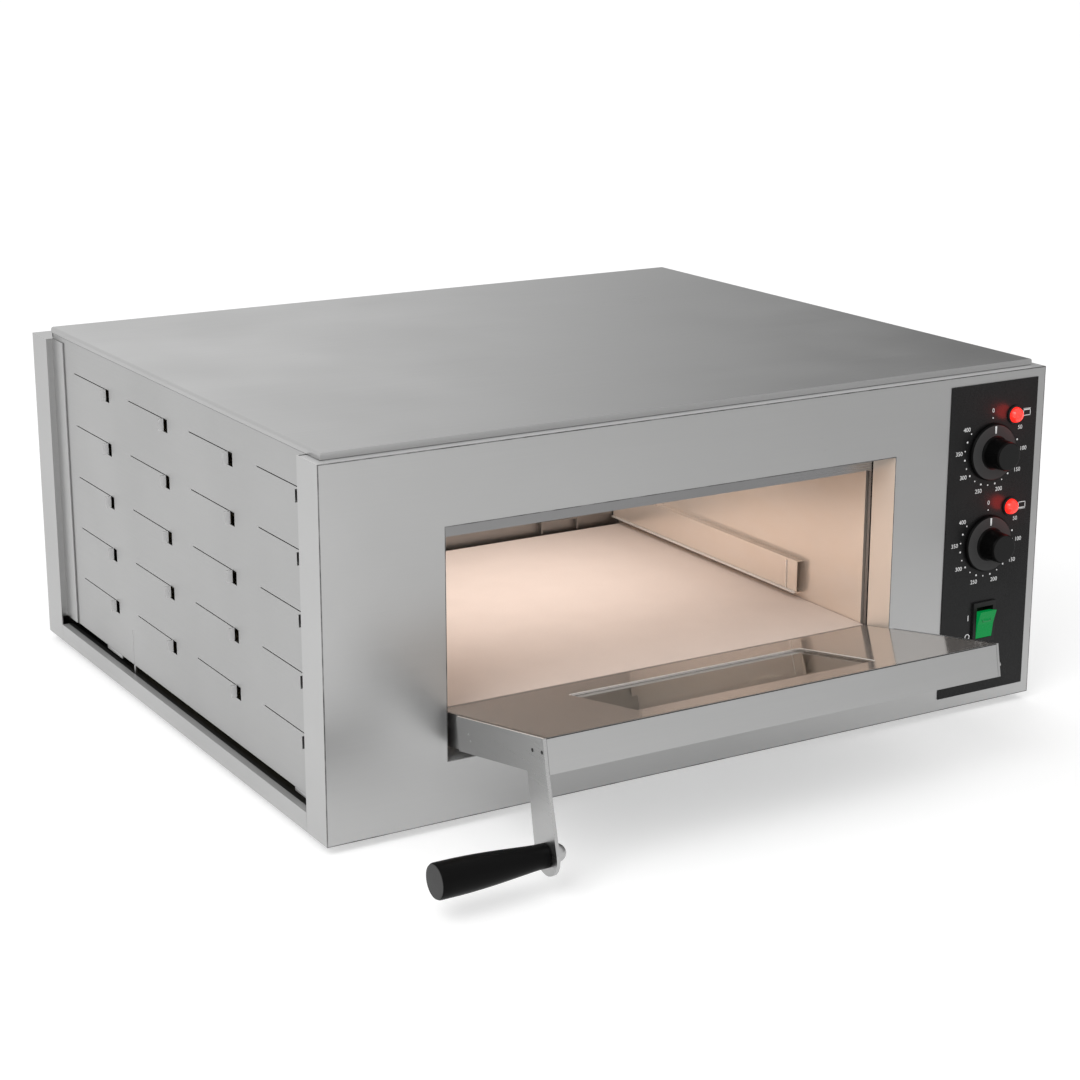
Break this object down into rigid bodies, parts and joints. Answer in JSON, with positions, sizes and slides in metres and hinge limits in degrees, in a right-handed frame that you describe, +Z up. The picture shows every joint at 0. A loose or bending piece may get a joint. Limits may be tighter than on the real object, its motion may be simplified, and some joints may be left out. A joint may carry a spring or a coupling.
{
  "type": "countertop pizza oven",
  "caption": "Electric deck oven for pizza with a drop-down glazed door on a side lever, stone baking floor, louvred casing, thermostat knobs, lamps and a rocker switch.",
  "frame": {"origin": "middle of the bounding box in plan, on the plane under the feet", "axes": "+Z up, +Y from the door towards the back, +X to the right seen from the front"},
  "size_m": [0.975, 1.1134, 0.435],
  "materials": {
    "stainless_steel": "satin brushed stainless sheet",
    "polished_steel": "bright annealed, nearly a mirror",
    "chamber_steel": "bright steel sheet, warm from heat and stone",
    "element_sheath": "heat-darkened sheath",
    "refractory_stone": "dry, fine-grained",
    "mineral_wool": "pressed fibre",
    "black_plastic": "satin moulding",
    "black_overlay": "smooth printed film",
    "grip_plastic": "hard black moulding",
    "foot_rubber": "moulded rubber",
    "door_glass": "clear tempered",
    "sensor_metal": "plain drawn metal",
    "white_ceramic": "matt",
    "red_lens": "clear red moulding",
    "green_rocker": "clear green moulding"
  },
  "bodies": {
    "oven_body": {"base_tray": "stainless_steel", "front_fascia": "stainless_steel", "rear_panel": "stainless_steel", "top_cover": "stainless_steel", "left_side_panel": "stainless_steel", "right_side_panel": "stainless_steel", "chamber_front_frame": "stainless_steel", "hinge_bracket_left": "stainless_steel", "hinge_bracket_right": "stainless_steel", "chamber_left_wall": "chamber_steel", "chamber_right_wall": "chamber_steel", "chamber_rear_wall": "chamber_steel", "chamber_ceiling": "chamber_steel", "chamber_floor_tray": "chamber_steel", "stone_support_left": "chamber_steel", "stone_support_right": "chamber_steel", "wall_guard": "chamber_steel", "element_hanger_left": "chamber_steel", "element_hanger_right": "chamber_steel", "heat_shield": "chamber_steel", "upper_element_front": "element_sheath", "upper_element_rear": "element_sheath", "lower_element_front": "element_sheath", "lower_element_rear": "element_sheath", "baking_stone": "refractory_stone", "top_insulation": "mineral_wool", "left_insulation": "mineral_wool", "right_insulation": "mineral_wool", "rear_insulation": "mineral_wool", "bottom_insulation": "mineral_wool", "upper_lamp_holder": "black_plastic", "lower_lamp_holder": "black_plastic", "switch_housing": "black_plastic", "cable_gland": "black_plastic", "control_overlay": "black_overlay", "foot_front_left": "foot_rubber", "foot_front_right": "foot_rubber", "foot_rear_left": "foot_rubber", "foot_rear_right": "foot_rubber", "upper_sensor": "sensor_metal", "lower_sensor": "sensor_metal", "upper_thermostat": "white_ceramic", "lower_thermostat": "white_ceramic", "terminal_block": "white_ceramic", "upper_lamp_lens": "red_lens", "lower_lamp_lens": "red_lens"},
    "door": {"door_outer_shell": "stainless_steel", "door_inner_panel": "polished_steel", "door_outer_glass": "door_glass", "door_inner_glass": "door_glass", "door_window_frame": "chamber_steel", "door_lever_plate": "stainless_steel", "door_right_plate": "stainless_steel", "handle_grip": "grip_plastic", "handle_bolt": "stainless_steel"},
    "upper_knob_body": {"upper_knob": "black_plastic", "upper_spindle": "sensor_metal"},
    "lower_knob_body": {"lower_knob": "black_plastic", "lower_spindle": "sensor_metal"},
    "rocker": {"switch_rocker": "green_rocker"}
  },
  "joints": [
    {"name": "door_hinge", "type": "hinge", "parent": "oven_body", "child": "door", "pos_m": [-0.041, -0.30718, 0.1111], "axis": [-1, 0, 0], "range_deg": [0, 79.7]},
    {"name": "upper_knob_turn", "type": "hinge", "parent": "oven_body", "child": "upper_knob_body", "pos_m": [0.4065, -0.33128, 0.3305], "axis": [0, 1, 0], "range_deg": [0, 308]},
    {"name": "lower_knob_turn", "type": "hinge", "parent": "oven_body", "child": "lower_knob_body", "pos_m": [0.4065, -0.33128, 0.216], "axis": [0, 1, 0], "range_deg": [0, 308]},
    {"name": "switch_rock", "type": "hinge", "parent": "oven_body", "child": "rocker", "pos_m": [0.407, -0.33028, 0.1155], "axis": [-1, 0, 0], "range_deg": [0, 24]}
  ]
}
